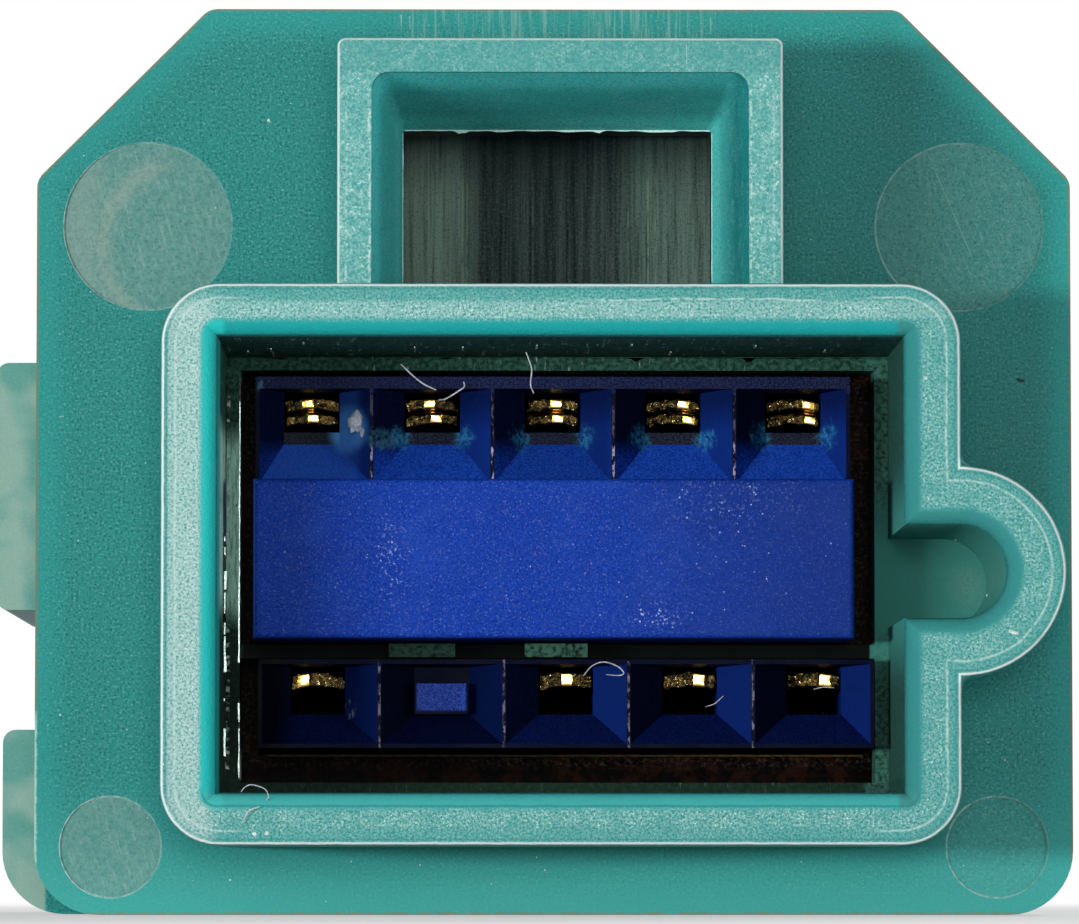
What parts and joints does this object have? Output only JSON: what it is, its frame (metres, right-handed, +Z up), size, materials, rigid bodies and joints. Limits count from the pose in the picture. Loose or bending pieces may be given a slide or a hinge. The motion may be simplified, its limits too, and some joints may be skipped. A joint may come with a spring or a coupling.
{
  "type": "hazard light switch",
  "caption": "Push-push hazard warning switch with a sprung square button at one end and a keyed, shrouded connector port at the other end of its two-part case.",
  "frame": {"origin": "middle of the flat underside, in the plane of the rear flange's outer face", "axes": "+Z up from the underside, +Y from the connector port towards the button, +X across to the side with the key channel"},
  "size_m": [0.0324, 0.0465, 0.0269],
  "materials": {
    "teal_plastic": "fine spark-eroded texture",
    "blue_plastic": "satin",
    "contact_metal": "plated",
    "carrier_plastic": "moulded",
    "board_laminate": "laminate",
    "lamp_lens": "clear",
    "resistor_body": "glazed",
    "black_plastic": "fine grain",
    "clear_plastic": "clear",
    "spring_steel": "drawn wire",
    "symbol_plastic": "satin",
    "diffuser_plastic": "milky",
    "plunger_plastic": "self-lubricating",
    "bridge_metal": "sprung copper alloy"
  },
  "bodies": {
    "housing": {"rear_housing": "teal_plastic", "upper_terminal_block": "blue_plastic", "lower_terminal_block": "blue_plastic", "upper_terminal_1": "contact_metal", "upper_terminal_2": "contact_metal", "upper_terminal_3": "contact_metal", "upper_terminal_4": "contact_metal", "upper_terminal_5": "contact_metal", "lower_terminal_1": "contact_metal", "lower_terminal_3": "contact_metal", "lower_terminal_4": "contact_metal", "lower_terminal_5": "contact_metal", "fixed_contact_rivets": "contact_metal", "inner_carrier": "carrier_plastic", "contact_board": "board_laminate", "indicator_lamp": "lamp_lens", "series_resistor": "resistor_body", "front_housing": "black_plastic", "light_pipe": "clear_plastic", "pin_leaf_spring": "spring_steel", "return_spring": "spring_steel"},
    "latch": {"latch_pin": "spring_steel"},
    "button": {"button_cap": "black_plastic", "warning_symbol": "symbol_plastic", "diffuser": "diffuser_plastic", "plunger": "plunger_plastic", "contact_bridge_left": "bridge_metal", "contact_bridge_right": "bridge_metal", "bridge_spring_left": "spring_steel", "bridge_spring_right": "spring_steel"}
  },
  "joints": [
    {"name": "button_press", "type": "slide", "parent": "housing", "child": "button", "axis": [0, -1, 0], "range_m": [0, 0.0045], "stiffness_N_per_m": 500, "springref_m": -0.003, "deforming": ["return_spring"]},
    {"name": "latch_pin_swing", "type": "hinge", "parent": "housing", "child": "latch", "pos_m": [0, 0.024, 0.0132], "axis": [0, 0, -1], "range_deg": [0, 14.3]}
  ],
  "couplings": [
    {"joint": "latch_pin_swing", "follows": "button_press", "rad_per_m": 55}
  ]
}
